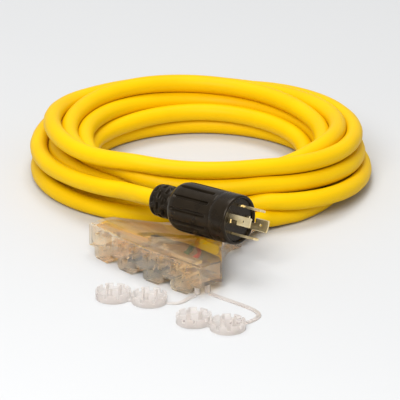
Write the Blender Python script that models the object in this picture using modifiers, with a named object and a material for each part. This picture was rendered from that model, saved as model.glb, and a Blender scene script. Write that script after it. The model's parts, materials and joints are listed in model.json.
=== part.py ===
"""Shore power cord: a coiled four-core lead, a locking plug and a clear fan-shaped
connector with four outlets in a row and two tethered dust covers.

World frame: metres, +Z up, z = 0 is the surface it lies on. The outlets face -Y, the
connector's width runs along X and its neck points to +Y. The origin is under the
middle of the second outlet, on the flat that the connector stands on.
"""
import math

import bmesh
import bpy
from mathutils import Matrix, Vector

MM = 0.001
GAP = 0.3 * MM                    # left between two pieces that touch
CUT = 2.0 * MM                    # how far a cutter runs past what it cuts

# Cord
CORD_R = 8.75 * MM
LEAD = 3.0 * MM                   # straight run where the cord meets a plug or boot
CORE_R = 2.0 * MM                 # one insulated conductor
CORE_CIRCLE_R = 4.3 * MM          # the four cores lie on this circle in the jacket

# Connector: depths are measured back from the middle of its bowed front
OUTLET_PITCH = 36.5 * MM
OUTLET_COUNT = 4
MIDDLE_X = OUTLET_PITCH / 2       # the connector's middle plane
FRONT_Y = -12.0 * MM
FRONT_BOW = 6.0 * MM              # the front's middle stands this far ahead of its ends
HALF_WIDTH = 77.5 * MM
BLOCK_DEPTH = 46.0 * MM           # the straight-sided block behind the outlets
CORNER = 9.0 * MM                 # cut off the block's rear corners
FAN_DEPTH = 108.0 * MM            # where the hollow-curved flanks reach the neck
FAN_CURVE = 1.4                   # how hollow the flanks are
FAN_STEPS = 12
NECK_DEPTH = 122.0 * MM
NECK_HALF_WIDTH = 18.0 * MM
TOP_Z = 31.5 * MM
TOP_DEPTH = 25.0 * MM             # the top is level to here, then drops to the neck
DROP_DEPTH = 70.0 * MM
SLAB_Z = 9.5 * MM                 # underside of the block, above the lobes
SLAB_DEPTH = 30.0 * MM            # the underside is level to here, then drops too
SLAB_DROP_DEPTH = 56.0 * MM
NECK_TOP_Z = 24.5 * MM
NECK_BOTTOM_Z = 2.0 * MM
NECK_Z = (NECK_TOP_Z + NECK_BOTTOM_Z) / 2
WALL = 3.0 * MM
FACE_THICK = 4.0 * MM
HOLLOW_END = 94.0 * MM
JACKET_END_DEPTH = 84.0 * MM      # the cord's jacket reaches this far into the neck
BORE_START = JACKET_END_DEPTH - 1.0 * MM
BOOT_LENGTH = 28.0 * MM
BOOT_RADII = (13.0 * MM, 10.6 * MM)

# Lobes: a rounded column under and in front of each outlet
LOBE_HALF_WIDTH = 12.0 * MM
LOBE_ROUND = 5.0 * MM             # radius of a lobe's lower corners
LOBE_DEPTH = 25.0 * MM
PAD_PROUD = 1.5 * MM              # each column stands this far ahead of the face

# Outlets: two blade slots with a round earth hole below them
BLADE_Z = 24.3 * MM
EARTH_Z = 12.4 * MM
BLADE_HALF_PITCH = 6.35 * MM
SLOT_WIDTH = 1.9 * MM
SLOT_HEIGHT = 7.2 * MM
NEUTRAL_SLOT_HEIGHT = 8.2 * MM
SIDE_SLOT_LENGTH = 5.0 * MM       # the level branch of the wide neutral slot
EARTH_R = 2.6 * MM

# Contacts behind the outlets
CONTACT_FRONT = 6.0 * MM
CONTACT_REAR = 19.0 * MM
STRIP_DEPTH = 7.0 * MM
LEAF = 0.9 * MM
BLADE_OPENING = 1.3 * MM          # between the two leaves that grip a blade
EARTH_OPENING = 4.2 * MM
NEUTRAL_LEVEL = (21.4 * MM, 24.2 * MM)
HOT_LEVEL = (25.0 * MM, 27.8 * MM)
EARTH_LEVEL = (12.9 * MM, 15.9 * MM)

# Plug: lengths are measured along its own axis from the cord end
PLUG_REAR = Vector((-25.4, 55.0, 50.0)) * MM
PLUG_FRONT = Vector((79.3, 65.5, 56.0)) * MM
PLUG_LENGTH = (PLUG_FRONT - PLUG_REAR).length
PLUG_R = 25.0 * MM
PLUG_BORE_R = 21.4 * MM
PLUG_SIDES = 60
RELIEF_LENGTH = 26.0 * MM
RELIEF_R = 15.8 * MM
RELIEF_END_R = 13.5 * MM
GROOVE_R = 14.3 * MM
GROOVES = (6.0 * MM, 12.5 * MM, 19.0 * MM)
GROOVE_WIDTH = 1.6 * MM
SHELL_START = RELIEF_LENGTH + GAP
SHELL_END = PLUG_LENGTH - 20.0 * MM
SHOULDER = (                      # radius and distance from the shell's cord end
    (25.0 * MM, 16.0 * MM), (24.6 * MM, 11.0 * MM), (23.0 * MM, 6.0 * MM),
    (19.5 * MM, 2.0 * MM), (16.0 * MM, 0.0),
)
SHELL_FLOOR = 6.0 * MM            # thickness of the shell's wall round the cord
SHELL_THROAT = 5.0 * MM           # past that wall the bore starts this much wider
FLUTE_COUNT = 12
FLUTE_R = 2.6 * MM
FLUTE_OUT = PLUG_R + 1.2 * MM     # circle that the flutes' middles lie on
FLUTE_STOP = 12.0 * MM            # they end this far behind the collar
COLLAR_EDGE = 1.0 * MM
FACE_R = PLUG_BORE_R - GAP
FACE_BACK = PLUG_LENGTH - 12.0 * MM
FACE_FRONT = PLUG_LENGTH - 2.5 * MM
PLUG_JACKET_END = RELIEF_LENGTH + 12.0 * MM
BLADE_CIRCLE_R = 14.5 * MM
PLUG_BLADE_THICK = 1.9 * MM
PLUG_BLADE_LENGTH = 25.0 * MM
PLUG_BLADE_ROOT = 8.0 * MM        # how far a blade reaches behind the face
PLUG_BLADES = {                   # name: (angle round the face, width along the circle)
    "plug_blade_earth": (-25.0, 12.0 * MM),
    "plug_blade_live_1": (65.0, 9.0 * MM),
    "plug_blade_neutral": (-115.0, 9.0 * MM),
    "plug_blade_live_2": (155.0, 9.0 * MM),
}
BLADE_CUT_REACH = 3.0 * MM        # how far a blade's cutters run to both sides of it
BLADE_HOLE_R = 1.4 * MM
BLADE_HOLE_AHEAD = 16.0 * MM      # the hole through a blade, ahead of the face
NOTCH_FOOT = 0.5 * MM             # the locking notch's two ends, ahead of the face
NOTCH_HEAD = 9.0 * MM
NOTCH_SIDE = 0.5 * MM             # it starts this far from the blade's middle

# Coil: an oval ring, longer across its own X axis
COIL_CENTRE = Vector((-134.7, 218.2, 0.0)) * MM
COIL_TURN = math.radians(46.0)
COIL_SQUASH = 0.89
COIL_PROFILE = (                  # radius and height, down the outside and up the inside
    (146.0 * MM, 71.0 * MM), (157.0 * MM, 67.0 * MM), (164.0 * MM, 58.0 * MM),
    (170.0 * MM, 40.0 * MM), (172.0 * MM, 26.0 * MM), (172.0 * MM, 9.0 * MM),
    (164.0 * MM, 0.0), (102.0 * MM, 0.0), (93.0 * MM, 9.0 * MM), (95.0 * MM, 40.0 * MM),
    (105.0 * MM, 56.0 * MM), (118.0 * MM, 68.0 * MM), (130.0 * MM, 71.0 * MM),
)
PLUG_TAIL_LEAVES = Vector((-90.0, -149.0, 41.0)) * MM       # in the coil's own frame
PLUG_TAIL_WAY = Vector((0.66, -0.72, 0.17))
BOOT_TAIL_ARRIVES = Vector((96.0, -141.0, 8.75)) * MM
BOOT_TAIL_WAY = Vector((0.72, 0.69, 0.0))

# Dust covers: each closes two outlets
CAP_R = 17.5 * MM
CAP_THICK = 2.5 * MM
WEB_WIDTH = 12.0 * MM
RIM_HEIGHT = 6.0 * MM             # the toothed rim round each cap
RIM_THICK = 2.2 * MM
RIM_NOTCHES = 9
NOTCH_WIDTH = 3.6 * MM
PRONG_HEIGHT = 10.0 * MM
PRONG_HALF_THICK = 0.8 * MM
PRONG_SIDES = (-2.5 * MM, 4.5 * MM)
PIN_R = 2.2 * MM
PIN_Y = -10.9 * MM
STRAP_WIDTH = 5.0 * MM
STRAP_THICK = 1.4 * MM
STRAP_LIFT = 0.1 * MM
STRAP_SLACK = 0.55                # how far a strap swings out before it turns back
ROOT_HALF = 2.0 * MM              # half the width of the post a strap hangs from
ROOT_LOW = 1.0 * MM
ROOT_GAP = 1.1 * MM               # room for a strap to turn up beside its post
LEFT_ROOT = Vector((90.5, -6.2, 0.0)) * MM
RIGHT_ROOT = Vector((96.5, 8.0, 0.0)) * MM
TETHERS = {       # cover's place and turn, strap's place on its cap, strap's root and way out
    "left": ((53.3 * MM, -56.2 * MM, 30.0), 0.0, LEFT_ROOT, Vector((0, -1, 0))),
    "right": ((152.5 * MM, -44.6 * MM, 20.0), 60.0, RIGHT_ROOT, Vector((1, 0, 0))),
}

RUBBER_YELLOW = ("cord jacket", (0.98, 0.70, 0.01), 0.42, 0.0)
CLEAR_AMBER = ("clear vinyl", (0.62, 0.48, 0.30), 0.15, 0.0)
CLEAR_PALE = ("clear cover vinyl", (0.86, 0.87, 0.86), 0.2, 0.0)
BLACK_NYLON = ("black nylon", (0.02, 0.02, 0.02), 0.45, 0.0)
BRASS = ("brass", (0.83, 0.62, 0.30), 0.25, 1.0)
CORE_BLACK = ("black insulation", (0.03, 0.03, 0.03), 0.5, 0.0)
CORE_RED = ("red insulation", (0.55, 0.04, 0.03), 0.5, 0.0)
CORE_WHITE = ("white insulation", (0.85, 0.84, 0.80), 0.5, 0.0)
CORE_GREEN = ("green insulation", (0.03, 0.30, 0.08), 0.5, 0.0)

SIDEWAYS = (math.radians(90), 0, math.radians(90))     # drawn x, y become world Y, Z


def clear_file():
    for obj in list(bpy.data.objects):
        bpy.data.objects.remove(obj, do_unlink=True)


def new_collection(name):
    collection = bpy.data.collections.new(name)
    bpy.context.scene.collection.children.link(collection)
    return collection


def get_material(spec):
    name, colour, roughness, metallic = spec
    material = bpy.data.materials.get(name)
    if material:
        return material
    material = bpy.data.materials.new(name)
    material.use_nodes = True
    shader = material.node_tree.nodes["Principled BSDF"]
    shader.inputs["Base Color"].default_value = (*colour, 1)
    shader.inputs["Roughness"].default_value = roughness
    shader.inputs["Metallic"].default_value = metallic
    return material


def put(name, mesh, collection, spec=None, smooth=False):
    """Make an object of a mesh that already stands where it belongs."""
    obj = bpy.data.objects.new(name, mesh)
    collection.objects.link(obj)
    if spec:
        mesh.materials.clear()
        mesh.materials.append(get_material(spec))
    for face in mesh.polygons:
        face.use_smooth = smooth
    return obj


def baked(obj, name, collection, spec=None, smooth=False, extra=None):
    """Turn a curve or a modified object into one welded mesh in world space."""
    bpy.context.view_layer.update()
    graph = bpy.context.evaluated_depsgraph_get()
    mesh = bpy.data.meshes.new_from_object(obj.evaluated_get(graph))
    mesh.transform((extra or Matrix.Identity(4)) @ obj.matrix_world)
    bpy.data.objects.remove(obj, do_unlink=True)
    work = bmesh.new()
    work.from_mesh(mesh)
    bmesh.ops.remove_doubles(work, verts=work.verts, dist=1e-6)
    bmesh.ops.recalc_face_normals(work, faces=work.faces)
    work.to_mesh(mesh)
    work.free()
    return put(name, mesh, collection, spec, smooth)


def slab(name, outline, low, high, collection, spec=None, rotation=(0, 0, 0), extra=None):
    """Extrude a drawn outline from low to high along its own normal."""
    curve = bpy.data.curves.new(name + " outline", "CURVE")
    curve.dimensions = "2D"
    curve.fill_mode = "BOTH"
    curve.extrude = (high - low) / 2
    spline = curve.splines.new("POLY")
    spline.points.add(len(outline) - 1)
    for point, (x, y) in zip(spline.points, outline):
        point.co = (x, y, 0, 1)
    spline.use_cyclic_u = True
    obj = bpy.data.objects.new(name + " outline", curve)
    bpy.context.scene.collection.objects.link(obj)
    obj.rotation_euler = rotation
    obj.location = obj.rotation_euler.to_matrix() @ Vector((0, 0, (low + high) / 2))
    return baked(obj, name, collection, spec, extra=extra)


def turned(name, profile, collection, spec=None, steps=48, extra=None):
    """Turn a closed profile of (radius, height), drawn down its outside, about +Z."""
    mesh = bpy.data.meshes.new(name)
    work = bmesh.new()
    corners = [work.verts.new((r, 0, z)) for r, z in profile]
    for first, second in zip(corners, corners[1:] + corners[:1]):
        work.edges.new((first, second))
    work.to_mesh(mesh)
    work.free()
    obj = bpy.data.objects.new(name, mesh)
    bpy.context.scene.collection.objects.link(obj)
    screw = obj.modifiers.new("turn", "SCREW")
    screw.axis = "Z"
    screw.steps = steps
    screw.render_steps = steps
    screw.use_merge_vertices = True
    screw.merge_threshold = 0.00001
    return baked(obj, name, collection, spec, smooth=True, extra=extra)


def cylinder(radius, low, high, sides=40):
    """A solid cylinder along +Z, to be joined into a mesh."""
    work = bmesh.new()
    bmesh.ops.create_cone(work, cap_ends=True, segments=sides, radius1=radius, radius2=radius,
                          depth=high - low)
    bmesh.ops.translate(work, verts=work.verts, vec=(0, 0, (low + high) / 2))
    return work


def box(low, high):
    """A solid box between two corners, to be joined into a mesh."""
    work = bmesh.new()
    bmesh.ops.create_cube(work, size=1)
    size = [b - a for a, b in zip(low, high)]
    middle = [(a + b) / 2 for a, b in zip(low, high)]
    bmesh.ops.scale(work, verts=work.verts, vec=size)
    bmesh.ops.translate(work, verts=work.verts, vec=middle)
    return work


def along_y(x, y, z):
    """The place of a +Z solid that is to point along +Y instead."""
    return Matrix.Translation((x, y, z)) @ Matrix.Rotation(math.radians(-90), 4, "X")


def joined(name, works, collection, spec=None, extra=None, smooth=False):
    """Gather several separate solids into one mesh object."""
    mesh = bpy.data.meshes.new(name)
    total = bmesh.new()
    for work in works:
        part = bpy.data.meshes.new("part of " + name)
        work.to_mesh(part)
        work.free()
        total.from_mesh(part)
        bpy.data.meshes.remove(part)
    if extra:
        bmesh.ops.transform(total, verts=total.verts, matrix=extra)
    total.to_mesh(mesh)
    total.free()
    return put(name, mesh, collection, spec, smooth)


def boolean(obj, operation, tool):
    modifier = obj.modifiers.new(operation.lower(), "BOOLEAN")
    modifier.operation = operation
    modifier.solver = "EXACT"
    modifier.object = tool
    tool.hide_render = True
    tool.display_type = "WIRE"


def tube(name, points, radius, collection, spec, resolution=3, extra=None):
    """A filled round tube through the given points."""
    curve = bpy.data.curves.new(name + " path", "CURVE")
    curve.dimensions = "3D"
    curve.bevel_depth = radius
    curve.bevel_resolution = resolution
    curve.use_fill_caps = True
    spline = curve.splines.new("POLY")
    spline.points.add(len(points) - 1)
    for point, place in zip(spline.points, points):
        point.co = (*place, 1)
    obj = bpy.data.objects.new(name + " path", curve)
    bpy.context.scene.collection.objects.link(obj)
    return baked(obj, name, collection, spec, smooth=True, extra=extra)


def smooth_path(start, start_way, end, end_way, count, slack=1 / 3):
    """Points on a cubic curve that leaves and arrives along two given ways."""
    reach = (end - start).length * slack
    near = start + start_way.normalized() * reach
    far = end - end_way.normalized() * reach
    points = []
    for index in range(count + 1):
        t = index / count
        s = 1 - t
        points.append(start * s**3 + near * (3 * s * s * t) + far * (3 * s * t * t) + end * t**3)
    return points


def front_corners():
    """Plan corners of the four flat facets that make the bowed front."""
    offsets = [-HALF_WIDTH, -OUTLET_PITCH, 0.0, OUTLET_PITCH, HALF_WIDTH]
    return [Vector((MIDDLE_X + x, FRONT_Y + FRONT_BOW * (x / HALF_WIDTH) ** 2)) for x in offsets]


def outlet_place(index):
    """An outlet's own frame: X along its facet, +Y into the connector, z = 0 as the world's."""
    left, right = front_corners()[index:index + 2]
    x = MIDDLE_X + OUTLET_PITCH * (index - (OUTLET_COUNT - 1) / 2)
    y = left.y + (right.y - left.y) * (x - left.x) / (right.x - left.x)
    angle = math.atan2(right.y - left.y, right.x - left.x)
    return Matrix.Translation((x, y, 0)) @ Matrix.Rotation(angle, 4, "Z")


def flank_half_width(depth):
    """Half the fan's width behind the block, at a depth behind the front."""
    along = min(1.0, (depth - BLOCK_DEPTH) / (FAN_DEPTH - BLOCK_DEPTH))
    spread = (HALF_WIDTH - CORNER - NECK_HALF_WIDTH) * (1 - along) ** FAN_CURVE
    return NECK_HALF_WIDTH + spread


def fan_outline(start, end, inset=0.0):
    """Plan outline of the fan, from a depth behind the bowed front back to an end."""
    front = []
    for corner in front_corners():
        across = min(max(corner.x - MIDDLE_X, inset - HALF_WIDTH), HALF_WIDTH - inset)
        front.append((MIDDLE_X + across, corner.y + start))
    depths = [BLOCK_DEPTH + (min(end, FAN_DEPTH) - BLOCK_DEPTH) * index / FAN_STEPS
              for index in range(FAN_STEPS + 1)]
    if end > FAN_DEPTH:
        depths.append(end)
    right = [(MIDDLE_X + HALF_WIDTH - inset, FRONT_Y + BLOCK_DEPTH - CORNER)]
    right += [(MIDDLE_X + flank_half_width(d) - inset, FRONT_Y + d) for d in depths]
    left = [(2 * MIDDLE_X - x, y) for x, y in reversed(right)]
    return front + right + left


def side_outline(inset=0.0):
    """Side view of the body: level over the outlets, then dropping to the neck."""
    rear = NECK_DEPTH + CUT
    top = [(-CUT, TOP_Z), (TOP_DEPTH, TOP_Z), (DROP_DEPTH, NECK_TOP_Z), (rear, NECK_TOP_Z)]
    bottom = [(rear, NECK_BOTTOM_Z), (SLAB_DROP_DEPTH, NECK_BOTTOM_Z), (SLAB_DEPTH, SLAB_Z),
              (-CUT, SLAB_Z)]
    upper = [(FRONT_Y + y, z - inset) for y, z in top]
    lower = [(FRONT_Y + y, z + inset) for y, z in bottom]
    return upper + lower


def lobe_outline(inset=0.0, top=TOP_Z):
    """Front view of a column: straight sides, rounded lower corners, flat foot."""
    half = LOBE_HALF_WIDTH - inset
    radius = LOBE_ROUND - inset / 2
    points = [(-half, top)]
    for index in range(5):
        turn = math.radians(22.5 * index)
        points.append((-half + radius * (1 - math.cos(turn)), inset + radius * (1 - math.sin(turn))))
    return points + [(-x, z) for x, z in reversed(points)]


def columns(name, start, end, collection, inset=0.0, top=TOP_Z):
    """A cutter or filler for each outlet's column, between two depths of its own frame."""
    upright = Matrix.Rotation(math.radians(90), 4, "X")
    return [slab(f"{name} {index + 1}", lobe_outline(inset, top), -end, -start, collection,
                 extra=outlet_place(index) @ upright)
            for index in range(OUTLET_COUNT)]


def build_connector_body(parts, cutters):
    """The clear fan overmould: open in front, hollow, with a bore through its neck."""
    start = FACE_THICK + GAP
    body = slab("connector_body", fan_outline(start, NECK_DEPTH), 0, TOP_Z + CUT, parts, CLEAR_AMBER)
    wide = HALF_WIDTH * 2
    side = slab("body side", side_outline(), -wide, wide, cutters, rotation=SIDEWAYS)
    boolean(body, "INTERSECT", side)
    for lobe in columns("body lobe", start, LOBE_DEPTH, cutters, top=TOP_Z - WALL):
        boolean(body, "UNION", lobe)
    hollow = slab("fan hollow", fan_outline(start - CUT, HOLLOW_END, WALL), NECK_BOTTOM_Z, TOP_Z,
                  cutters)
    hollow_side = slab("fan hollow side", side_outline(WALL), -wide, wide, cutters, rotation=SIDEWAYS)
    boolean(hollow, "INTERSECT", hollow_side)
    boolean(body, "DIFFERENCE", hollow)
    for well in columns("lobe hollow", start - CUT, LOBE_DEPTH - WALL, cutters, WALL, BLADE_Z):
        boolean(body, "DIFFERENCE", well)
    bore = cylinder(CORD_R + GAP, BORE_START, NECK_DEPTH + CUT)
    bore_place = along_y(MIDDLE_X, FRONT_Y, NECK_Z)
    boolean(body, "DIFFERENCE", joined("neck bore", [bore], cutters, extra=bore_place))


def slot_cutters(through):
    """One outlet's blade slots, in its own frame, cut between two depths."""
    front, back = through
    works = []
    for side, height in ((-1, NEUTRAL_SLOT_HEIGHT), (1, SLOT_HEIGHT)):
        middle = side * BLADE_HALF_PITCH
        works.append(box((middle - SLOT_WIDTH / 2, front, BLADE_Z - height / 2),
                         (middle + SLOT_WIDTH / 2, back, BLADE_Z + height / 2)))
    return works


def build_connector_face(parts, cutters):
    """The front plate: four flat facets, each with a proud column and an outlet's slots."""
    corners = [tuple(corner) for corner in front_corners()]
    behind = [(x, y + FACE_THICK) for x, y in reversed(corners)]
    face = slab("connector_face", corners + behind, SLAB_Z, TOP_Z, parts, CLEAR_AMBER)
    for pad in columns("face pad", -PAD_PROUD, FACE_THICK, cutters):
        boolean(face, "UNION", pad)
    through = (-PAD_PROUD - CUT, FACE_THICK + CUT)
    for index in range(OUTLET_COUNT):
        place = outlet_place(index)
        slots = joined(f"blade slots {index + 1}", slot_cutters(through), cutters, extra=place)
        boolean(face, "DIFFERENCE", slots)
        branch = box((-BLADE_HALF_PITCH - SIDE_SLOT_LENGTH, through[0], BLADE_Z - SLOT_WIDTH / 2),
                     (-BLADE_HALF_PITCH, through[1], BLADE_Z + SLOT_WIDTH / 2))
        boolean(face, "DIFFERENCE", joined(f"side slot {index + 1}", [branch], cutters, extra=place))
        hole = cylinder(EARTH_R, *through, sides=24)
        hole_place = place @ along_y(0, 0, EARTH_Z)
        boolean(face, "DIFFERENCE", joined(f"earth hole {index + 1}", [hole], cutters, extra=hole_place))


def comb_outline(leaves, opening):
    """A strip with a pair of leaves reaching forward at each place, seen from above."""
    strip = FRONT_Y + CONTACT_REAR
    outer = opening / 2 + LEAF
    inner = opening / 2
    points = []
    for index, middle in leaves:
        place = outlet_place(index)
        foot = strip - place.translation.y
        for near, far in ((-outer, -inner), (inner, outer)):
            corners = ((near, foot), (near, CONTACT_FRONT), (far, CONTACT_FRONT), (far, foot))
            points += [tuple((place @ Vector((middle + x, y, 0)))[:2]) for x, y in corners]
    rear = strip + STRIP_DEPTH
    return points + [(points[-1][0], rear), (points[0][0], rear)]


def build_contacts(parts):
    """Brass strips that join the outlets' contacts, on three levels."""
    live = [(index, BLADE_HALF_PITCH) for index in range(OUTLET_COUNT)]
    neutral = [(index, -BLADE_HALF_PITCH) for index in range(OUTLET_COUNT)]
    earth = [(index, 0.0) for index in range(OUTLET_COUNT)]
    slab("contact_live_1", comb_outline(live[:2], BLADE_OPENING), *HOT_LEVEL, parts, BRASS)
    slab("contact_live_2", comb_outline(live[2:], BLADE_OPENING), *HOT_LEVEL, parts, BRASS)
    slab("contact_neutral", comb_outline(neutral, BLADE_OPENING), *NEUTRAL_LEVEL, parts, BRASS)
    slab("contact_earth", comb_outline(earth, EARTH_OPENING), *EARTH_LEVEL, parts, BRASS)


def build_connector_cord_end(parts):
    """The jacket inside the neck, its four cores, and the boot behind the neck."""
    jacket_y = FRONT_Y + JACKET_END_DEPTH
    end_y = FRONT_Y + NECK_DEPTH + BOOT_LENGTH
    stub = [Vector((MIDDLE_X, jacket_y, NECK_Z)), Vector((MIDDLE_X, end_y, NECK_Z))]
    tube("connector_jacket_end", stub, CORD_R, parts, RUBBER_YELLOW, resolution=5)
    rear = FRONT_Y + CONTACT_REAR + STRIP_DEPTH + GAP
    goals = {                     # insulation, side and level in the jacket, where it ends
        "connector_core_black": (CORE_BLACK, -1, 1, -32.75 * MM, HOT_LEVEL[0]),
        "connector_core_red": (CORE_RED, 1, 1, 46.75 * MM, HOT_LEVEL[0]),
        "connector_core_white": (CORE_WHITE, -1, -1, -18.0 * MM, sum(NEUTRAL_LEVEL) / 2),
        "connector_core_green": (CORE_GREEN, 1, -1, 16.0 * MM, EARTH_LEVEL[1] - CORE_R / 2),
    }
    offset = CORE_CIRCLE_R * math.sqrt(0.5)
    back = Vector((0, -1, 0))
    for name, (spec, side, level, x, z) in goals.items():
        start = Vector((MIDDLE_X + side * offset, jacket_y - GAP, NECK_Z + level * offset))
        end = Vector((MIDDLE_X + x, rear, z))
        tube(name, smooth_path(start, back, end, back, 14), CORE_R, parts, spec, resolution=2)
    wide, narrow = BOOT_RADII
    hole = CORD_R + GAP
    length = BOOT_LENGTH - GAP
    profile = [(narrow, length), (wide, 0), (hole, 0), (hole, length)]
    place = along_y(MIDDLE_X, FRONT_Y + NECK_DEPTH + GAP, NECK_Z)
    turned("connector_boot", profile, parts, CLEAR_AMBER, steps=32, extra=place)


def plug_place():
    """The plug's own frame: +Z runs from its cord end to its face."""
    along = (PLUG_FRONT - PLUG_REAR).normalized()
    turn = along.to_track_quat("Z", "Y").to_matrix().to_4x4()
    return Matrix.Translation(PLUG_REAR) @ turn


def arc_outline(angle, width, grow=0.0, steps=6):
    """A curved blade seen end on: a short bar bent round the face's middle."""
    half = (width / 2 + grow) / BLADE_CIRCLE_R
    inner = BLADE_CIRCLE_R - PLUG_BLADE_THICK / 2 - grow
    outer = BLADE_CIRCLE_R + PLUG_BLADE_THICK / 2 + grow
    middle = math.radians(angle)
    angles = [middle - half + 2 * half * index / steps for index in range(steps + 1)]
    points = [(outer * math.cos(a), outer * math.sin(a)) for a in angles]
    points += [(inner * math.cos(a), inner * math.sin(a)) for a in reversed(angles)]
    return points


def build_plug_shell(parts, cutters, place):
    """Grip shell with a rounded shoulder and long flutes, and the collar ahead of it."""
    hole = CORD_R + GAP
    full = SHELL_START + SHOULDER[0][1]
    floor = SHELL_START + SHELL_FLOOR
    profile = [(PLUG_R, SHELL_END)]
    profile += [(radius, SHELL_START + along) for radius, along in SHOULDER]
    profile += [(hole, SHELL_START), (hole, floor), (hole + SHELL_THROAT, floor), (PLUG_BORE_R, full + CUT),
                (PLUG_BORE_R, SHELL_END)]
    shell = turned("plug_shell", profile, parts, BLACK_NYLON, steps=PLUG_SIDES, extra=place)
    works = []
    for index in range(FLUTE_COUNT):
        work = cylinder(FLUTE_R, full - CUT, SHELL_END - FLUTE_STOP, sides=12)
        bmesh.ops.translate(work, verts=work.verts, vec=(FLUTE_OUT, 0, 0))
        spin = Matrix.Rotation(math.tau * (index + 0.5) / FLUTE_COUNT, 3, "Z")
        bmesh.ops.rotate(work, verts=work.verts, matrix=spin)
        works.append(work)
    boolean(shell, "DIFFERENCE", joined("plug flutes", works, cutters, extra=place))
    low = SHELL_END + GAP
    collar = [
        (PLUG_R - COLLAR_EDGE, PLUG_LENGTH), (PLUG_R, PLUG_LENGTH - COLLAR_EDGE), (PLUG_R, low),
        (PLUG_BORE_R, low), (PLUG_BORE_R, PLUG_LENGTH),
    ]
    turned("plug_collar", collar, parts, BLACK_NYLON, steps=PLUG_SIDES, extra=place)


def build_plug_relief(parts, place):
    """Ringed relief that grips the cord behind the shell."""
    hole = CORD_R + GAP
    foot = GROOVE_WIDTH / 2
    lip = foot + 0.4 * MM
    profile = [(RELIEF_R, RELIEF_LENGTH)]
    for groove in reversed(GROOVES):
        profile += [(RELIEF_R, groove + lip), (GROOVE_R, groove + foot), (GROOVE_R, groove - foot),
                    (RELIEF_R, groove - lip)]
    profile += [(RELIEF_R, CUT), (RELIEF_END_R, 0), (hole, 0), (hole, RELIEF_LENGTH)]
    turned("plug_strain_relief", profile, parts, BLACK_NYLON, steps=40, extra=place)


def build_plug_face(parts, cutters, place):
    """The disc that carries the four curved blades."""
    disc = cylinder(FACE_R, FACE_BACK, FACE_FRONT, sides=PLUG_SIDES)
    face = joined("plug_face", [disc], parts, BLACK_NYLON, extra=place)
    for name, (angle, width) in PLUG_BLADES.items():
        low = FACE_BACK - PLUG_BLADE_ROOT
        high = PLUG_LENGTH + PLUG_BLADE_LENGTH
        blade = slab(name, arc_outline(angle, width), low, high, parts, BRASS, extra=place)
        cut_blade(blade, name, angle, cutters, place)
        slot = slab(name + " slot", arc_outline(angle, width, GAP), FACE_BACK - CUT,
                    FACE_FRONT + CUT, cutters, extra=place)
        boolean(face, "DIFFERENCE", slot)


def cut_blade(blade, name, angle, cutters, place):
    """The locking notch near the foot of a blade's leading edge, and the hole beyond it."""
    inner = BLADE_CIRCLE_R - BLADE_CUT_REACH
    outer = BLADE_CIRCLE_R + BLADE_CUT_REACH
    notch = box((inner, NOTCH_SIDE, PLUG_LENGTH + NOTCH_FOOT),
                (outer, PLUG_BLADE_LENGTH, PLUG_LENGTH + NOTCH_HEAD))
    hole = cylinder(BLADE_HOLE_R, inner, outer, sides=16)
    lying = Matrix.Translation((0, 0, PLUG_LENGTH + BLADE_HOLE_AHEAD))
    bmesh.ops.transform(hole, verts=hole.verts, matrix=lying @ Matrix.Rotation(math.radians(90), 4, "Y"))
    turn = Matrix.Rotation(math.radians(angle), 4, "Z")
    cuts = joined(name + " cuts", [notch, hole], cutters, extra=place @ turn)
    boolean(blade, "DIFFERENCE", cuts)


def build_plug_cores(parts, place):
    """The jacket end in the plug and a core to each blade."""
    up = Vector((0, 0, 1))
    tube("plug_jacket_end", [Vector((0, 0, 0)), up * PLUG_JACKET_END], CORD_R, parts,
         RUBBER_YELLOW, resolution=5, extra=place)
    colours = {
        "plug_blade_earth": ("plug_core_green", CORE_GREEN),
        "plug_blade_live_1": ("plug_core_red", CORE_RED),
        "plug_blade_neutral": ("plug_core_white", CORE_WHITE),
        "plug_blade_live_2": ("plug_core_black", CORE_BLACK),
    }
    for blade, (name, spec) in colours.items():
        angle = math.radians(PLUG_BLADES[blade][0])
        way = Vector((math.cos(angle), math.sin(angle), 0))
        start = way * CORE_CIRCLE_R + up * (PLUG_JACKET_END + GAP)
        end = way * BLADE_CIRCLE_R + up * (FACE_BACK - PLUG_BLADE_ROOT - GAP)
        tube(name, smooth_path(start, up, end, up, 8), CORE_R, parts, spec, resolution=2, extra=place)


def build_coil(parts):
    """The coil's outer shape as one oval ring, and the two free ends of the cord."""
    turn = Matrix.Rotation(COIL_TURN, 3, "Z")
    squash = Matrix.Diagonal((1, COIL_SQUASH, 1, 1))
    place = Matrix.Translation(COIL_CENTRE) @ turn.to_4x4() @ squash
    turned("cord_coil", COIL_PROFILE, parts, RUBBER_YELLOW, steps=72, extra=place)

    plug_way = (PLUG_FRONT - PLUG_REAR).normalized()
    leave = COIL_CENTRE + turn @ PLUG_TAIL_LEAVES
    meet = PLUG_REAR - plug_way * GAP
    points = smooth_path(leave, turn @ PLUG_TAIL_WAY, meet - plug_way * LEAD, plug_way, 6) + [meet]
    tube("cord_to_plug", points, CORD_R, parts, RUBBER_YELLOW)

    start = Vector((MIDDLE_X, FRONT_Y + NECK_DEPTH + BOOT_LENGTH + GAP, NECK_Z))
    arrive = COIL_CENTRE + turn @ BOOT_TAIL_ARRIVES
    ahead = Vector((0, 1, 0))
    points = [start] + smooth_path(start + ahead * LEAD, ahead, arrive, turn @ BOOT_TAIL_WAY, 5)
    tube("cord_to_connector", points, CORD_R, parts, RUBBER_YELLOW)


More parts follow.
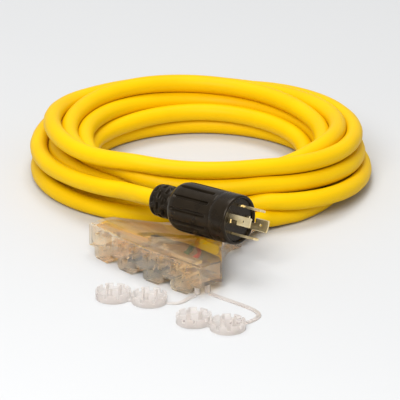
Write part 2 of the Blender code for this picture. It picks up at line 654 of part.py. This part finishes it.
def build_cover(name, place, parts, cutters):
    """Two round caps on a web, each with a toothed rim and prongs for an outlet's slots."""
    half = OUTLET_PITCH / 2
    rim_top = CAP_THICK + RIM_HEIGHT
    web = box((-half, -WEB_WIDTH / 2, 0), (half, WEB_WIDTH / 2, CAP_THICK))
    cover = joined(name, [web], parts, CLEAR_PALE, extra=place)
    low = CAP_THICK / 2
    high = CAP_THICK + PRONG_HEIGHT
    for side in (-1, 1):
        cap = cylinder(CAP_R, 0, rim_top)
        bmesh.ops.translate(cap, verts=cap.verts, vec=(side * half, 0, 0))
        boolean(cover, "UNION", joined(f"{name} cap {side}", [cap], cutters, extra=place))
    for side in (-1, 1):
        well = cylinder(CAP_R - RIM_THICK, CAP_THICK, rim_top + CUT)
        bmesh.ops.translate(well, verts=well.verts, vec=(side * half, 0, 0))
        boolean(cover, "DIFFERENCE", joined(f"{name} well {side}", [well], cutters, extra=place))
        notches = []
        for index in range(RIM_NOTCHES):
            notch = box((CAP_R - RIM_THICK - CUT, -NOTCH_WIDTH / 2, CAP_THICK + CUT),
                        (CAP_R + CUT, NOTCH_WIDTH / 2, rim_top + CUT))
            spin = Matrix.Rotation(math.tau * (index + 0.5) / RIM_NOTCHES, 3, "Z")
            bmesh.ops.rotate(notch, verts=notch.verts, matrix=spin)
            bmesh.ops.translate(notch, verts=notch.verts, vec=(side * half, 0, 0))
            notches.append(notch)
        boolean(cover, "DIFFERENCE", joined(f"{name} notches {side}", notches, cutters, extra=place))
        prongs = []
        for offset in (-BLADE_HALF_PITCH, BLADE_HALF_PITCH):
            x = side * half + offset
            prongs.append(box((x - PRONG_HALF_THICK, PRONG_SIDES[0], low),
                              (x + PRONG_HALF_THICK, PRONG_SIDES[1], high)))
        pin = cylinder(PIN_R, low, high, sides=16)
        bmesh.ops.translate(pin, verts=pin.verts, vec=(side * half, PIN_Y, 0))
        prongs.append(pin)
        boolean(cover, "UNION", joined(f"{name} prongs {side}", prongs, cutters, extra=place))


def strap_outline(points, width):
    """Offset a centre line to both sides to make a flat strap."""
    left = []
    right = []
    for index, point in enumerate(points):
        before = points[max(index - 1, 0)]
        after = points[min(index + 1, len(points) - 1)]
        way = (after - before).normalized()
        side = Vector((-way.y, way.x, 0)) * (width / 2)
        left.append(tuple((point + side)[:2]))
        right.append(tuple((point - side)[:2]))
    return left + list(reversed(right))


def build_covers(parts, cutters):
    """Both covers lie open on the surface, each on a strap from the right-hand end."""
    for name, ((x, y, angle), cap_angle, root, way_in) in TETHERS.items():
        place = Matrix.Translation((x, y, 0)) @ Matrix.Rotation(math.radians(angle), 4, "Z")
        build_cover(f"cover_{name}", place, parts, cutters)
        outward = Matrix.Rotation(math.radians(cap_angle), 3, "Z") @ Vector((1, 0, 0))
        cap_middle = Vector((OUTLET_PITCH / 2, 0, 0))
        end = place @ (cap_middle + outward * (CAP_R + GAP))
        inward = (place @ cap_middle - end).normalized()
        points = smooth_path(root, way_in, end, inward, 14, STRAP_SLACK)
        slab(f"tether_{name}", strap_outline(points, STRAP_WIDTH), STRAP_LIFT,
             STRAP_LIFT + STRAP_THICK, parts, CLEAR_PALE)


def build_tether_roots(parts):
    """Posts under the connector's right-hand end that the straps hang from."""
    half = Vector((ROOT_HALF, ROOT_HALF, 0))
    for name, (_, _, root, way) in TETHERS.items():
        middle = root - way * (ROOT_HALF + ROOT_GAP)
        low = middle - half + Vector((0, 0, ROOT_LOW))
        high = middle + half + Vector((0, 0, SLAB_Z - GAP))
        joined(f"tether_root_{name}", [box(low, high)], parts, CLEAR_PALE)


def main():
    clear_file()
    parts = new_collection("shore_power_cord")
    cutters = new_collection("cutters")
    build_connector_body(parts, cutters)
    build_connector_face(parts, cutters)
    build_contacts(parts)
    build_connector_cord_end(parts)
    build_coil(parts)
    place = plug_place()
    build_plug_shell(parts, cutters, place)
    build_plug_relief(parts, place)
    build_plug_face(parts, cutters, place)
    build_plug_cores(parts, place)
    build_covers(parts, cutters)
    build_tether_roots(parts)


main()
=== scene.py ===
"""Looks of the shore power cord: a coiled yellow lead, a black locking plug and a clear
fan-shaped connector with tethered dust covers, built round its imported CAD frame."""

import json
import math

import bmesh
import bpy
import numpy as np
from mathutils import Matrix, Vector


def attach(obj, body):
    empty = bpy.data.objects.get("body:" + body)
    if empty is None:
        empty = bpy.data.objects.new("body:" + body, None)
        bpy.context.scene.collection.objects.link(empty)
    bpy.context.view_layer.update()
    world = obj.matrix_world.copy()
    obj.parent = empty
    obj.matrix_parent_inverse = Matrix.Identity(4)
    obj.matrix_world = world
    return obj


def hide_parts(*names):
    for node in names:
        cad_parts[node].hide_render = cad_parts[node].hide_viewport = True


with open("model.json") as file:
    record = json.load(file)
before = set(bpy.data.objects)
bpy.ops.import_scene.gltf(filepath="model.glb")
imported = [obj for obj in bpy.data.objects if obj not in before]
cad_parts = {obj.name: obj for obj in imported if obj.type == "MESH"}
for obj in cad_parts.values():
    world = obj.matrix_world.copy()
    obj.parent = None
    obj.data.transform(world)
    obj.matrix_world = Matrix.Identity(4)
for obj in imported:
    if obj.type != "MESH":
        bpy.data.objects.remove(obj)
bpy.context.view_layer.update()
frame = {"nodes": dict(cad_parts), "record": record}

MM = 0.001
ROOT = "cord_set"

# Places that the CAD part is built from, in its own frame
CORD_D = 17.5 * MM
BOOT_END = Vector((18.25, 138.3, 13.25)) * MM
BOOT_WAY = Vector((0, 1, 0))
PLUG_REAR = Vector((-25.4, 55.0, 50.0)) * MM
PLUG_FRONT = Vector((79.3, 65.5, 56.0)) * MM
PLUG_WAY = (PLUG_FRONT - PLUG_REAR).normalized()
PLUG_LENGTH = (PLUG_FRONT - PLUG_REAR).length
NECK_END = Vector((18.25, 110.3, 13.25)) * MM

FIT = 0.3 * MM                    # room between the lead and the parts it runs through

# The plug, measured along its axis from its cable end
RELIEF_LENGTH = 26.0 * MM
SHELL_START = RELIEF_LENGTH + FIT
SHELL_END = PLUG_LENGTH - 20.0 * MM
PLUG_R = 25.0 * MM
GRIP_INSIDE = 21.4 * MM           # the bore at the grip's front end and in the collar
PLUG_SEAM = 0.15 * MM             # between the grip and the collar
FLUTE_COUNT = 12
FLUTE_HALF = 2.1 * MM             # half of a flute's width
FLUTE_DEPTH = 3.0 * MM
FLUTE_EDGE = 0.9 * MM             # its sides slope over this width
FLUTE_OUTSIDE = 22.0 * MM         # only skin outside this radius is fluted
FLUTE_START = SHELL_START + 8.0 * MM
FLUTE_END = SHELL_END - 5.0 * MM
FLUTE_RUN_IN = 3.0 * MM
FLUTE_RUN_OUT = 1.0 * MM
SLOT_ROWS = (6.0 * MM, 13.0 * MM, 20.0 * MM)
SLOT_COUNT = 8
SLOT_DEPTH = 3.0 * MM
SLOT_SPAN = (0.30, 0.36)          # a slot's half length and that with its slope, in pitches
SLOT_HALF = (1.2 * MM, 1.9 * MM)  # half of its width, without and with its slope
SLOT_OUTSIDE = 13.0 * MM          # only skin outside this radius is slotted

# The connector's boot
BOOT_LENGTH = 27.7 * MM
BOOT_RING_PITCH = 5.0 * MM
BOOT_RING_DEPTH = 0.9 * MM
BOOT_OUTSIDE = 9.5 * MM           # only skin outside this radius is ringed

# Rounded edges
SHARP_ANGLE = math.radians(40.0)  # edges that turn more than this are rounded
FLAT_ANGLE = math.radians(1.0)    # faces that turn less than this are joined into one
WELD = 2e-6
EDGE_SEGMENTS = 2

# Camera: where it looks from, and the point that the coil's route is measured from
VIEW_TURN = math.radians(46.0)
VIEW_RISE = math.radians(22.6)
COIL_ORIGIN = Vector((-124.65, 208.5, 0.0)) * MM
VIEW_DROP = 23.0 * MM             # the picture's middle lies this far below that point
VIEW_DISTANCE = 11.1
VIEW_LENS = 1000.0

# Light: name, place, size in metres and power in watts
LIGHTS = (
    ("key light", (-0.5, 0.4, 2.3), 1.6, 28.0),
    ("front light", (0.95, -1.5, 1.8), 1.5, 52.0),
)
WORLD_STRENGTH = 0.53
FLOOR_HALF = 6.0
FLOOR_GAP = 0.2 * MM              # the floor lies this far below the part

# The lead's route round the coil: (turns, radius, height) in mm. Turn 0 is the camera's
# right, a quarter is the far side, and each whole turn adds one to it
ROUTE = (
    (-0.14, 149, 9), (0.0, 143, 9), (0.25, 136, 9), (0.5, 163, 9), (0.60, 148, 9),
    (0.68, 130, 9), (0.75, 128, 12), (0.82, 150, 22), (0.86, 164, 26), (0.91, 163, 18),
    (1.0, 163, 9), (1.25, 156, 9), (1.36, 153, 27), (1.44, 148, 20), (1.5, 146, 9),
    (1.68, 113, 9), (1.75, 108, 9),
    (2.0, 125, 9), (2.25, 116, 9), (2.5, 120, 9), (2.75, 103, 24),
    (3.0, 112, 24), (3.25, 118, 26), (3.5, 112, 30), (3.75, 104, 38),
    (4.0, 122, 27), (4.25, 124, 30), (4.5, 114, 42), (4.75, 112, 28),
    (5.0, 124, 38), (5.25, 128, 46), (5.5, 130, 50), (5.68, 126, 43), (5.75, 127, 42),
    (5.82, 142, 42), (6.0, 159, 27), (6.25, 146, 24), (6.5, 146, 30), (6.75, 112, 46),
    (7.0, 137, 50), (7.07, 138, 46), (7.25, 145, 36), (7.37, 146, 44), (7.5, 148, 62),
    (7.58, 146, 61), (7.66, 141, 60.5), (7.75, 127, 60), (7.83, 133, 58), (7.92, 148, 52),
    (8.0, 153, 47.6), (8.08, 153, 38), (8.25, 158, 26), (8.5, 163, 30), (8.56, 154, 32),
    (8.62, 150, 37), (8.67, 158, 43),
)
ROUTE_STEPS = 100                 # points on each turn before the route is evened out
ROUTE_BLUR = 19                   # points over which the route is smoothed
CORD_STEP = 6.0 * MM
END_POINTS = 4                    # points kept straight at each end
PLUG_STRAIGHT = 0.6               # the straight run at the plug, as a share of the other
SETTLE_ROUNDS = 150
CORD_ROUNDNESS = 5
NEAR_STRAND = 1.4                 # diameters within which two strands can come to touch
SETTLE_GAP = 1.01                 # strands are pushed this many diameters apart
PAIR_ROUNDS = 10                  # rounds between two searches for close strands
STIFFNESS = 0.9                   # how far each point goes back to its wanted bend in a round
BEND_BLUR = 15                    # points over which the wanted bend is averaged
HOLD = 0.01                       # how far each point is drawn back to the route in a round


def spread(low, high, count):
    """Evenly spaced numbers from low to high, both included."""
    return [low + (high - low) * index / (count - 1) for index in range(count)]


# ---------------------------------------------------------------- materials

def new_shader(name):
    """A new material, with its node tree and its shader."""
    material = bpy.data.materials.new(name)
    material.use_nodes = True
    tree = material.node_tree
    return material, tree, tree.nodes["Principled BSDF"]


def noise(tree, scale, detail=4.0):
    """A noise pattern in metres over the object's own coordinates."""
    place = tree.nodes.new("ShaderNodeTexCoord")
    pattern = tree.nodes.new("ShaderNodeTexNoise")
    pattern.inputs["Scale"].default_value = scale
    pattern.inputs["Detail"].default_value = detail
    tree.links.new(place.outputs["Object"], pattern.inputs["Vector"])
    return pattern.outputs["Fac"]


def mixed_colour(tree, factor, first, second):
    """Two colours, blended by a pattern's middle range."""
    ramp = tree.nodes.new("ShaderNodeValToRGB")
    ramp.color_ramp.elements[0].position = 0.35
    ramp.color_ramp.elements[0].color = (*first, 1)
    ramp.color_ramp.elements[1].position = 0.65
    ramp.color_ramp.elements[1].color = (*second, 1)
    tree.links.new(factor, ramp.inputs["Fac"])
    return ramp.outputs["Color"]


def ranged(tree, factor, low, high):
    """A number that runs from low to high with a pattern."""
    scale = tree.nodes.new("ShaderNodeMapRange")
    scale.inputs["From Min"].default_value = 0.3
    scale.inputs["From Max"].default_value = 0.7
    scale.inputs["To Min"].default_value = low
    scale.inputs["To Max"].default_value = high
    tree.links.new(factor, scale.inputs["Value"])
    return scale.outputs["Result"]


def bumped(tree, shader, factor, height, strength=0.5):
    """Raise and sink the surface with a pattern, by up to height."""
    bump = tree.nodes.new("ShaderNodeBump")
    bump.inputs["Strength"].default_value = strength
    bump.inputs["Distance"].default_value = height
    tree.links.new(factor, bump.inputs["Height"])
    tree.links.new(bump.outputs["Normal"], shader.inputs["Normal"])


def surface(name, first, second, rough, tone_scale=30.0, grain=900.0, height=0.05 * MM,
            metallic=0.0, specular=0.5, glint=(1, 1, 1)):
    """An opaque finish: two close tones in patches, uneven roughness and a fine grain."""
    material, tree, shader = new_shader(name)
    patches = noise(tree, tone_scale)
    tree.links.new(mixed_colour(tree, patches, first, second), shader.inputs["Base Color"])
    tree.links.new(ranged(tree, patches, *rough), shader.inputs["Roughness"])
    bumped(tree, shader, noise(tree, grain, 2.0), height)
    shader.inputs["Metallic"].default_value = metallic
    shader.inputs["Specular IOR Level"].default_value = specular
    shader.inputs["Specular Tint"].default_value = (*glint, 1)
    return material


RIPPLE = 0.25 * MM                # the flow ripples in clear plastic
GLOSS_IOR = 1.7                   # of the glossy skin on clear plastic


def clear(name, first, second, rough, see_through, alpha, ior=1.4, grain=260.0, coat=0.0):
    """A clear moulding: tinted patches, faint flow ripples and some milkiness."""
    material, tree, shader = new_shader(name)
    patches = noise(tree, 45.0, 3.0)
    tree.links.new(mixed_colour(tree, patches, first, second), shader.inputs["Base Color"])
    tree.links.new(ranged(tree, patches, *rough), shader.inputs["Roughness"])
    bumped(tree, shader, noise(tree, grain, 2.0), RIPPLE, 0.4)
    shader.inputs["Transmission Weight"].default_value = see_through
    shader.inputs["Alpha"].default_value = alpha
    shader.inputs["IOR"].default_value = ior
    shader.inputs["Coat Weight"].default_value = coat
    shader.inputs["Coat IOR"].default_value = GLOSS_IOR
    return material


MATERIALS = {
    "cord_jacket": surface("yellow jacket", (0.80, 0.485, 0.0), (0.84, 0.525, 0.0),
                           (0.42, 0.52), tone_scale=18.0, grain=700.0, height=0.08 * MM,
                           specular=0.10),
    "amber_vinyl": clear("smoky clear vinyl", (1.0, 0.81, 0.59), (1.0, 0.93, 0.79),
                         (0.0, 0.02), 0.93, 1.0, ior=1.10, grain=110.0, coat=1.0),
    "pale_vinyl": clear("pale clear vinyl", (0.86, 0.78, 0.73), (0.94, 0.89, 0.85),
                        (0.25, 0.40), 0.62, 0.62),
    "black_nylon": surface("black nylon", (0.009, 0.006, 0.003), (0.015, 0.010, 0.005),
                           (0.24, 0.32), tone_scale=60.0, grain=1500.0, height=0.02 * MM,
                           specular=0.24, glint=(1.0, 0.86, 0.72)),
    "brass": surface("brass", (0.86, 0.68, 0.34), (0.94, 0.80, 0.50), (0.30, 0.42),
                     tone_scale=120.0, grain=2500.0, height=0.02 * MM, metallic=1.0),
    "insulation_black": surface("black insulation", (0.02, 0.02, 0.018), (0.035, 0.04, 0.03),
                                (0.4, 0.5)),
    "insulation_red": surface("red insulation", (0.42, 0.03, 0.015), (0.50, 0.05, 0.02),
                              (0.4, 0.5)),
    "insulation_white": surface("white insulation", (0.80, 0.78, 0.72), (0.88, 0.86, 0.80),
                                (0.4, 0.5)),
    "insulation_green": surface("green insulation", (0.03, 0.20, 0.06), (0.05, 0.27, 0.09),
                                (0.4, 0.5)),
}


# ---------------------------------------------------------------- building pieces

def finish_piece(obj, slot, body=ROOT, replaced=()):
    """Give a piece its material, its body and the CAD nodes that it stands for."""
    obj.data.materials.clear()
    obj.data.materials.append(MATERIALS[slot])
    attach(obj, body)
    if replaced:
        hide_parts(*replaced)
    return obj


def new_object(name, mesh, smooth=True):
    """Put a mesh in the scene, shaded smooth or flat."""
    obj = bpy.data.objects.new(name, mesh)
    bpy.context.scene.collection.objects.link(obj)
    for face in mesh.polygons:
        face.use_smooth = smooth
    return obj


def applied(obj):
    """Apply an object's modifiers to its mesh."""
    bpy.context.view_layer.update()
    graph = bpy.context.evaluated_depsgraph_get()
    mesh = bpy.data.meshes.new_from_object(obj.evaluated_get(graph))
    obj.modifiers.clear()
    obj.data = mesh
    return obj


def softened(name, source, width):
    """A copy of a CAD node's shape with its sharp edges rounded."""
    work = bmesh.new()
    work.from_mesh(frame["nodes"][source].data)
    bmesh.ops.remove_doubles(work, verts=work.verts, dist=WELD)
    bmesh.ops.dissolve_limit(work, angle_limit=FLAT_ANGLE, verts=work.verts,
                             edges=work.edges)
    mesh = bpy.data.meshes.new(name)
    work.to_mesh(mesh)
    work.free()
    obj = new_object(name, mesh)
    bevel = obj.modifiers.new("edges", "BEVEL")
    bevel.width = width
    bevel.segments = EDGE_SEGMENTS
    bevel.limit_method = "ANGLE"
    bevel.angle_limit = SHARP_ANGLE
    bevel.harden_normals = True
    return applied(obj)


def lathe(name, profile, around, shape, place):
    """A closed ring of (radius, height) turned about Z. shape(angle, radius, height) gives
    the real radius, so a turned piece can carry flutes, slots or ribs."""
    work = bmesh.new()
    rows = []
    for radius, height in profile:
        row = []
        for index in range(around):
            angle = math.tau * index / around
            real = shape(angle, radius, height)
            row.append(work.verts.new((real * math.cos(angle), real * math.sin(angle), height)))
        rows.append(row)
    for first, second in zip(rows, rows[1:] + rows[:1]):
        for index in range(around):
            after = (index + 1) % around
            work.faces.new((first[index], first[after], second[after], second[index]))
    bmesh.ops.recalc_face_normals(work, faces=work.faces)
    bmesh.ops.transform(work, verts=work.verts, matrix=place)
    mesh = bpy.data.meshes.new(name)
    work.to_mesh(mesh)
    work.free()
    return new_object(name, mesh)


def rounded(profile, steps):
    """Cut the corners of a closed profile, once for each step, so that it turns smoothly."""
    for _ in range(steps):
        cut = []
        for first, second in zip(profile, profile[1:] + profile[:1]):
            cut.append((first[0] * 0.75 + second[0] * 0.25, first[1] * 0.75 + second[1] * 0.25))
            cut.append((first[0] * 0.25 + second[0] * 0.75, first[1] * 0.25 + second[1] * 0.75))
        profile = cut
    return profile


def dense(profile, step):
    """Add points along a closed profile so that none are further apart than step."""
    points = []
    for first, second in zip(profile, profile[1:] + profile[:1]):
        count = max(1, math.ceil(math.dist(first, second) / step))
        for index in range(count):
            share = index / count
            points.append(tuple(a + (b - a) * share for a, b in zip(first, second)))
    return points


def plain(angle, radius, height):
    """A shape for lathe with nothing cut into it."""
    return radius


def ease(value, low, high):
    """0 below low, 1 above high, and a smooth rise between them."""
    share = min(1.0, max(0.0, (value - low) / (high - low)))
    return share * share * (3 - 2 * share)


def along_frame(start, way):
    """The place of a turned piece that starts at a point and runs along a direction."""
    return Matrix.Translation(start) @ way.to_track_quat("Z", "Y").to_matrix().to_4x4()


# ---------------------------------------------------------------- camera, floor, light

def build_camera():
    """A long lens from the photograph's angle, so the view is almost parallel."""
    back = Vector((math.sin(VIEW_TURN) * math.cos(VIEW_RISE),
                   -math.cos(VIEW_TURN) * math.cos(VIEW_RISE), math.sin(VIEW_RISE)))
    up = Vector((-math.sin(VIEW_TURN) * math.sin(VIEW_RISE),
                 math.cos(VIEW_TURN) * math.sin(VIEW_RISE), math.cos(VIEW_RISE)))
    camera = bpy.data.cameras.new("camera")
    camera.lens = VIEW_LENS
    camera.sensor_width = 36.0
    camera.clip_end = 50.0
    obj = bpy.data.objects.new("camera", camera)
    bpy.context.scene.collection.objects.link(obj)
    obj.location = COIL_ORIGIN - up * VIEW_DROP + back * VIEW_DISTANCE
    obj.rotation_euler = (math.radians(90) - VIEW_RISE, 0, VIEW_TURN)
    bpy.context.scene.camera = obj


def build_floor():
    """A plain pale floor under the part."""
    mesh = bpy.data.meshes.new("floor")
    work = bmesh.new()
    bmesh.ops.create_grid(work, x_segments=1, y_segments=1, size=FLOOR_HALF)
    work.to_mesh(mesh)
    work.free()
    floor = new_object("floor", mesh, smooth=False)
    floor.location = (0, 0, -FLOOR_GAP)
    floor.data.materials.append(surface("pale floor", (0.61, 0.615, 0.62), (0.62, 0.625, 0.63),
                                        (0.6, 0.7), tone_scale=1.0, grain=80.0, specular=0.2))


def add_light(name, place, aim, size, power):
    """A round soft light that points at a place."""
    light = bpy.data.lights.new(name, "AREA")
    light.shape = "DISK"
    light.size = size
    light.energy = power
    obj = bpy.data.objects.new(name, light)
    bpy.context.scene.collection.objects.link(obj)
    obj.location = place
    obj.rotation_euler = (aim - Vector(place)).to_track_quat("-Z", "Y").to_euler()


def build_light():
    """Even white surroundings with two large soft lights."""
    world = bpy.data.worlds.new("studio")
    bpy.context.scene.world = world
    world.use_nodes = True
    world.node_tree.nodes["Background"].inputs["Color"].default_value = (1, 1, 1, 1)
    world.node_tree.nodes["Background"].inputs["Strength"].default_value = WORLD_STRENGTH
    for name, place, size, power in LIGHTS:
        add_light(name, place, COIL_ORIGIN, size, power)
    bpy.context.scene.view_settings.view_transform = "Standard"


# ---------------------------------------------------------------- the lead

def route_points():
    """The route's stations, blurred into one smooth run round the coil."""
    turns, radii, heights = (np.array(column, float) for column in zip(*ROUTE))
    fine = np.linspace(turns[0], turns[-1], int((turns[-1] - turns[0]) * ROUTE_STEPS))
    window = np.hanning(ROUTE_BLUR + 2)[1:-1]
    window /= window.sum()
    half = ROUTE_BLUR // 2
    blurred = []
    for values in (np.interp(fine, turns, radii), np.interp(fine, turns, heights)):
        before = 2 * values[0] - values[half:0:-1]
        after = 2 * values[-1] - values[-2:-half - 2:-1]
        blurred.append(np.convolve(np.concatenate([before, values, after]), window, "valid"))
    angles = math.tau * fine + VIEW_TURN
    radius, height = blurred
    points = np.stack([radius * np.cos(angles), radius * np.sin(angles), height], 1) * MM
    return points + np.array(COIL_ORIGIN)


def even(points, step):
    """The same line with its points a fixed step apart."""
    along = np.concatenate([[0], np.cumsum(np.linalg.norm(np.diff(points, axis=0), axis=1))])
    places = np.linspace(0, along[-1], int(round(along[-1] / step)) + 1)
    return np.stack([np.interp(places, along, points[:, axis]) for axis in range(3)], 1)


def close_pairs(points, reach):
    """Pairs of points that are near each other but far apart along the lead."""
    gaps = points[:, None, :] - points[None, :, :]
    near = (gaps ** 2).sum(2) < reach ** 2
    return np.nonzero(np.triu(near, k=int(3 * CORD_D / CORD_STEP)))


def settle(points):
    """Push crossing strands apart until each lies against its neighbours."""
    wanted = points.copy()
    bend = wanted[1:-1] - (wanted[:-2] + wanted[2:]) / 2
    for axis in range(3):
        inner = np.convolve(bend[:, axis], np.full(BEND_BLUR, 1 / BEND_BLUR), "same")
        bend[BEND_BLUR:-BEND_BLUR, axis] = inner[BEND_BLUR:-BEND_BLUR]
    free = slice(END_POINTS, -END_POINTS)
    spacing = CORD_D * SETTLE_GAP
    for turn in range(SETTLE_ROUNDS):
        if turn % PAIR_ROUNDS == 0:
            first, second = close_pairs(points, NEAR_STRAND * CORD_D)
        gaps = points[first] - points[second]
        lengths = np.maximum(np.linalg.norm(gaps, axis=1), 1e-6)
        over = np.maximum(spacing - lengths, 0) / lengths
        push = np.zeros_like(points)
        count = np.zeros(len(points))
        np.add.at(push, first, gaps * over[:, None])
        np.add.at(push, second, -gaps * over[:, None])
        np.add.at(count, first, over > 0)
        np.add.at(count, second, over > 0)
        moved = points + push / (2 * np.sqrt(np.maximum(count, 1)))[:, None]
        middle = (moved[:-2] + moved[2:]) / 2 + bend
        moved[1:-1] += STIFFNESS * (middle - moved[1:-1])
        moved += HOLD * (wanted - moved)
        moved[:, 2] = np.maximum(moved[:, 2], CORD_D / 2)
        points[free] = moved[free]
    return points


def build_cord():
    """The whole lead from the connector's boot, round the coil, to the plug."""
    leaving = [BOOT_END + BOOT_WAY * along
               for along in spread(0, END_POINTS * CORD_STEP, END_POINTS + 1)]
    arriving = [PLUG_REAR - PLUG_WAY * (along + FIT)
                for along in spread(END_POINTS * CORD_STEP * PLUG_STRAIGHT, 0, END_POINTS)]
    points = np.concatenate([np.array(leaving), route_points(), np.array(arriving)])
    points = settle(even(points, CORD_STEP))
    curve = bpy.data.curves.new("cord", "CURVE")
    curve.dimensions = "3D"
    curve.bevel_depth = CORD_D / 2
    curve.bevel_resolution = CORD_ROUNDNESS
    curve.use_fill_caps = True
    curve.resolution_u = 1
    spline = curve.splines.new("POLY")
    spline.points.add(len(points) - 1)
    for point, place in zip(spline.points, points):
        point.co = (*place, 1)
    spline.use_smooth = True
    cord = bpy.data.objects.new("cord", curve)
    bpy.context.scene.collection.objects.link(cord)
    return finish_piece(cord, "cord_jacket", replaced=("cord_coil", "cord_to_connector",
                                                       "cord_to_plug"))


# ---------------------------------------------------------------- the plug

def fluted(angle, radius, height):
    """Square-ended grooves along the grip."""
    if radius < FLUTE_OUTSIDE:
        return radius
    pitch = math.tau / FLUTE_COUNT
    across = abs((angle / pitch) % 1 - 0.5) * pitch * PLUG_R
    groove = 1 - ease(across, FLUTE_HALF - FLUTE_EDGE, FLUTE_HALF)
    run = ease(height, FLUTE_START, FLUTE_START + FLUTE_RUN_IN)
    run *= 1 - ease(height, FLUTE_END - FLUTE_RUN_OUT, FLUTE_END)
    return radius - FLUTE_DEPTH * groove * run


def slotted(angle, radius, height):
    """Three staggered rows of short slots round the strain relief."""
    if radius < SLOT_OUTSIDE:
        return radius
    depth = 0.0
    for row, middle in enumerate(SLOT_ROWS):
        pitch = math.tau / SLOT_COUNT
        across = abs((angle / pitch + row / 2) % 1 - 0.5)
        open_part = 1 - ease(across, *SLOT_SPAN)
        depth += open_part * (1 - ease(abs(height - middle), *SLOT_HALF))
    return radius - SLOT_DEPTH * depth


def build_plug():
    """The grip, the collar round the plug's face and the slotted cord grip."""
    place = along_frame(PLUG_REAR, PLUG_WAY)
    hole = CORD_D / 2 + FIT
    shell = [
        (GRIP_INSIDE, SHELL_END), (PLUG_R - 0.1 * MM, SHELL_END), (PLUG_R, SHELL_END - 0.1 * MM),
        (PLUG_R, SHELL_START + 17 * MM), (24.7 * MM, SHELL_START + 12 * MM),
        (23.6 * MM, SHELL_START + 7.5 * MM), (21.6 * MM, SHELL_START + 4 * MM),
        (18.6 * MM, SHELL_START + 1.4 * MM), (15.0 * MM, SHELL_START), (hole, SHELL_START),
        (hole, SHELL_START + 4 * MM), (14 * MM, SHELL_START + 8 * MM),
        (20 * MM, SHELL_START + 20 * MM),
    ]
    pieces = [finish_piece(lathe("plug_grip", dense(shell, 1.2 * MM), 360, fluted, place),
                           "black_nylon", replaced=("plug_shell",))]
    collar = rounded([
        (GRIP_INSIDE, PLUG_LENGTH - 0.4 * MM), (23.4 * MM, PLUG_LENGTH),
        (24.6 * MM, PLUG_LENGTH - 1 * MM), (PLUG_R, PLUG_LENGTH - 3 * MM),
        (PLUG_R, SHELL_END + 0.25 * MM), (PLUG_R - 0.1 * MM, SHELL_END + PLUG_SEAM),
        (GRIP_INSIDE, SHELL_END + PLUG_SEAM),
    ], 1)
    pieces.append(finish_piece(lathe("plug_front_collar", collar, 96, plain, place),
                               "black_nylon", replaced=("plug_collar",)))
    relief = [
        (14.6 * MM, RELIEF_LENGTH), (16.2 * MM, RELIEF_LENGTH - 2 * MM), (16.6 * MM, 12 * MM),
        (16.4 * MM, 5 * MM), (15.6 * MM, 2 * MM), (13.6 * MM, 0.3 * MM), (hole, 0.2 * MM),
        (hole, RELIEF_LENGTH),
    ]
    relief = dense(rounded(relief, 1), 0.6 * MM)
    pieces.append(finish_piece(lathe("plug_cord_grip", relief, 160, slotted, place),
                               "black_nylon", replaced=("plug_strain_relief",)))
    return pieces


# ---------------------------------------------------------------- the connector

def ringed(angle, radius, height):
    """Shallow rings along the connector's boot."""
    if radius < BOOT_OUTSIDE:
        return radius
    wave = 0.5 - 0.5 * math.cos(math.tau * height / BOOT_RING_PITCH)
    return radius - BOOT_RING_DEPTH * wave


def build_connector():
    """The clear body, its front with the outlets, and the boot round the lead."""
    body = softened("connector_shell", "connector_body", 1.2 * MM)
    finish_piece(body, "amber_vinyl", replaced=("connector_body",))
    face = softened("connector_front", "connector_face", 0.7 * MM)
    finish_piece(face, "amber_vinyl", replaced=("connector_face",))
    place = along_frame(NECK_END, BOOT_WAY)
    hole = CORD_D / 2 + FIT
    boot = [
        (10.2 * MM, BOOT_LENGTH), (10.8 * MM, BOOT_LENGTH - 0.6 * MM), (13.2 * MM, 1 * MM),
        (12.6 * MM, 0), (hole, 0), (hole, BOOT_LENGTH),
    ]
    boot = lathe("connector_cord_boot", dense(boot, 0.6 * MM), 64, ringed, place)
    finish_piece(boot, "amber_vinyl", replaced=("connector_boot",))


def build_covers():
    """Each dust cover and its strap, which lift together, and the post they hang from."""
    for side in ("left", "right"):
        body = f"cover_{side}"
        cover = softened(f"dust_cover_{side}", f"cover_{side}", 0.35 * MM)
        finish_piece(cover, "pale_vinyl", body, (f"cover_{side}",))
        strap = softened(f"cover_strap_{side}", f"tether_{side}", 0.4 * MM)
        finish_piece(strap, "pale_vinyl", body, (f"tether_{side}",))
        post = softened(f"strap_post_{side}", f"tether_root_{side}", 0.4 * MM)
        finish_piece(post, "pale_vinyl", ROOT, (f"tether_root_{side}",))


def dress_cad_nodes():
    """Every CAD node that still shows gets its real finish."""
    slots = {part["node"]: part["material_slot"] for part in frame["record"]["subparts"]}
    for name, obj in frame["nodes"].items():
        if not obj.hide_render:
            obj.data.materials.clear()
            obj.data.materials.append(MATERIALS[slots[name]])


def main():
    build_camera()
    build_floor()
    build_light()
    cord = build_cord()
    plug_pieces = build_plug()
    build_connector()
    build_covers()
    dress_cad_nodes()


main()
